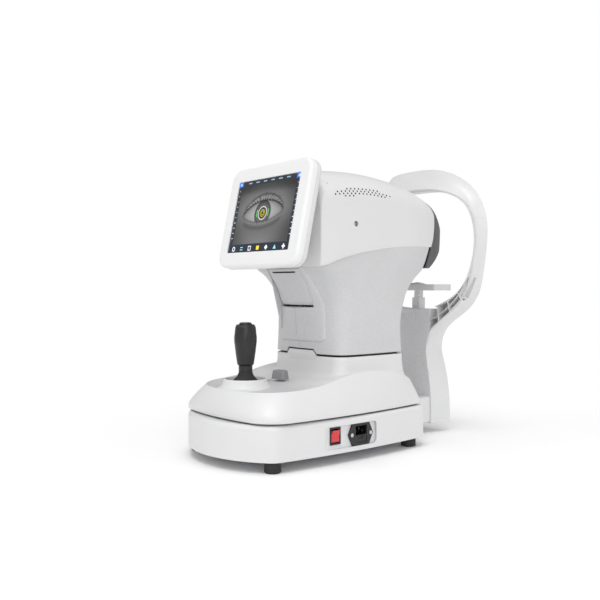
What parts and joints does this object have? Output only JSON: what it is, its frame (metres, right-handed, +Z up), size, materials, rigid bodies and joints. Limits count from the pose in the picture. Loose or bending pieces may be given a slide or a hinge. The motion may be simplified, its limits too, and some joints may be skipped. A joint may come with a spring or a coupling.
{
  "type": "autorefractor",
  "caption": "Desktop autorefractor: joystick-driven cross stage, rising head with tilting monitor and printer, motorised chin rest and forehead hoop.",
  "frame": {"origin": "on the table, under the middle of the whole instrument's outline", "axes": "+Z up, +Y towards the patient, +X to the operator's right"},
  "size_m": [0.3088, 0.5052, 0.4895],
  "materials": {
    "white_gloss": "glossy moulded",
    "white_satin": "satin moulded",
    "white_texture": "fine textured",
    "panel_grey": "fine textured",
    "bezel_grey": "satin",
    "charcoal": "fine textured",
    "black_plastic": "satin",
    "red_plastic": "glossy",
    "rubber": "matt",
    "steel": "ground",
    "aluminium": "machined",
    "brass": "turned",
    "glass": "coated",
    "display": "glossy",
    "board": "solder mask",
    "pad": "soft vinyl",
    "paper": "thermal paper"
  },
  "bodies": {
    "base": {"base_tray": "white_satin", "base_plate": "steel", "rubber_feet": "rubber", "case_screws": "steel", "slide_tracks": "steel", "power_supply": "aluminium", "control_board": "board", "inlet_panel": "panel_grey", "switch_body": "black_plastic", "mains_inlet": "black_plastic", "headrest_frame": "white_gloss", "forehead_arch": "white_gloss", "column_panel": "panel_grey", "headrest_arm": "white_satin", "forehead_pad": "pad", "chin_sleeve": "white_satin"},
    "carriage": {"slide_bar": "aluminium"},
    "axle": {"cross_axle": "steel"},
    "stage": {"stage_plate": "steel", "slide_bushings": "brass", "stage_cover": "white_satin", "joystick_ring": "white_gloss", "gimbal_mount": "aluminium", "lift_motor": "steel", "guide_rods": "steel", "lift_shroud": "panel_grey"},
    "lift_drive": {"lift_screw": "steel"},
    "gimbal": {"gimbal_ring": "aluminium"},
    "joystick": {"joystick_shaft": "charcoal", "joystick_boot": "rubber"},
    "grip": {"joystick_grip": "charcoal"},
    "button": {"measure_button": "black_plastic"},
    "knob": {"lock_knob": "panel_grey"},
    "head": {"column_cover_left": "white_texture", "column_cover_right": "white_texture", "head_shell": "white_gloss", "rear_bezel": "bezel_grey", "measuring_window": "glass", "head_chassis": "aluminium", "lift_bearings": "steel", "optical_bench": "aluminium", "objective_barrel": "aluminium", "objective_lens": "glass", "camera_module": "black_plastic", "fixation_unit": "black_plastic", "head_board": "board", "printer_tray": "charcoal", "monitor_bracket": "aluminium"},
    "door": {"printer_door": "white_satin"},
    "platen": {"platen_roller": "rubber"},
    "paper": {"paper_roll": "paper"},
    "monitor": {"monitor_frame": "white_gloss", "monitor_back": "white_satin", "screen_glass": "display", "display_module": "display"},
    "rocker": {"power_rocker": "red_plastic"},
    "fuses": {"fuse_drawer": "black_plastic"},
    "chin": {"chin_rest": "white_satin", "chin_post": "steel"},
    "chin_drive": {"chin_screw": "steel"}
  },
  "joints": [
    {"name": "stage_y", "type": "slide", "parent": "base", "child": "carriage", "axis": [0, 1, 0], "range_m": [-0.025, 0.006]},
    {"name": "axle_turn", "type": "hinge", "parent": "carriage", "child": "axle", "pos_m": [0, -0.06, 0.05905], "axis": [1, 0, 0], "range_deg": [-45, 165]},
    {"name": "stage_x", "type": "slide", "parent": "carriage", "child": "stage", "axis": [1, 0, 0], "range_m": [-0.04, 0.04]},
    {"name": "head_lift", "type": "slide", "parent": "stage", "child": "head", "axis": [0, 0, 1], "range_m": [0, 0.025]},
    {"name": "lift_screw_turn", "type": "hinge", "parent": "stage", "child": "lift_drive", "pos_m": [0, 0.02, 0.15], "axis": [0, 0, 1], "range_deg": [-10, 1135]},
    {"name": "stick_fore_aft", "type": "hinge", "parent": "stage", "child": "gimbal", "pos_m": [0, -0.177, 0.1], "axis": [1, 0, 0], "range_deg": [-10, 10]},
    {"name": "stick_left_right", "type": "hinge", "parent": "gimbal", "child": "joystick", "pos_m": [0, -0.177, 0.1], "axis": [0, 1, 0], "range_deg": [-10, 10]},
    {"name": "grip_turn", "type": "hinge", "parent": "joystick", "child": "grip", "pos_m": [0, -0.177, 0.17], "axis": [0, 0, 1], "continuous": true},
    {"name": "measure_press", "type": "slide", "parent": "grip", "child": "button", "axis": [0, 0, -1], "range_m": [0, 0.0015], "stiffness_N_per_m": 500, "springref_m": -0.001},
    {"name": "lock_turn", "type": "hinge", "parent": "stage", "child": "knob", "pos_m": [0, -0.108, 0.12], "axis": [0, 0, 1], "range_deg": [0, 90]},
    {"name": "door_open", "type": "hinge", "parent": "head", "child": "door", "pos_m": [0, -0.0726, 0.2392], "axis": [1, 0, 0], "range_deg": [0, 75]},
    {"name": "platen_turn", "type": "hinge", "parent": "head", "child": "platen", "pos_m": [0, -0.077, 0.2845], "axis": [1, 0, 0], "continuous": true},
    {"name": "paper_turn", "type": "hinge", "parent": "head", "child": "paper", "pos_m": [0, -0.042, 0.256], "axis": [1, 0, 0], "continuous": true},
    {"name": "monitor_tilt", "type": "hinge", "parent": "head", "child": "monitor", "pos_m": [0, -0.11297, 0.38682], "axis": [1, 0, 0], "range_deg": [0, 12]},
    {"name": "power_switch", "type": "hinge", "parent": "base", "child": "rocker", "pos_m": [0.12, -0.0988, 0.0437], "axis": [0, -1, 0], "range_deg": [0, 16]},
    {"name": "fuse_drawer_pull", "type": "slide", "parent": "base", "child": "fuses", "axis": [1, 0, 0], "range_m": [0, 0.018]},
    {"name": "chin_lift", "type": "slide", "parent": "base", "child": "chin", "axis": [0, 0, 1], "range_m": [-0.01, 0.05]},
    {"name": "chin_screw_turn", "type": "hinge", "parent": "base", "child": "chin_drive", "pos_m": [0, 0.228, 0.18], "axis": [0, 0, 1], "range_deg": [-460, 2260]}
  ],
  "couplings": [
    {"joint": "axle_turn", "follows": "stage_y", "rad_per_m": -111.11},
    {"joint": "lift_screw_turn", "follows": "head_lift", "rad_per_m": 785.4},
    {"joint": "chin_screw_turn", "follows": "chin_lift", "rad_per_m": 785.4},
    {"joint": "paper_turn", "follows": "platen_turn", "ratio": -0.2091}
  ]
}
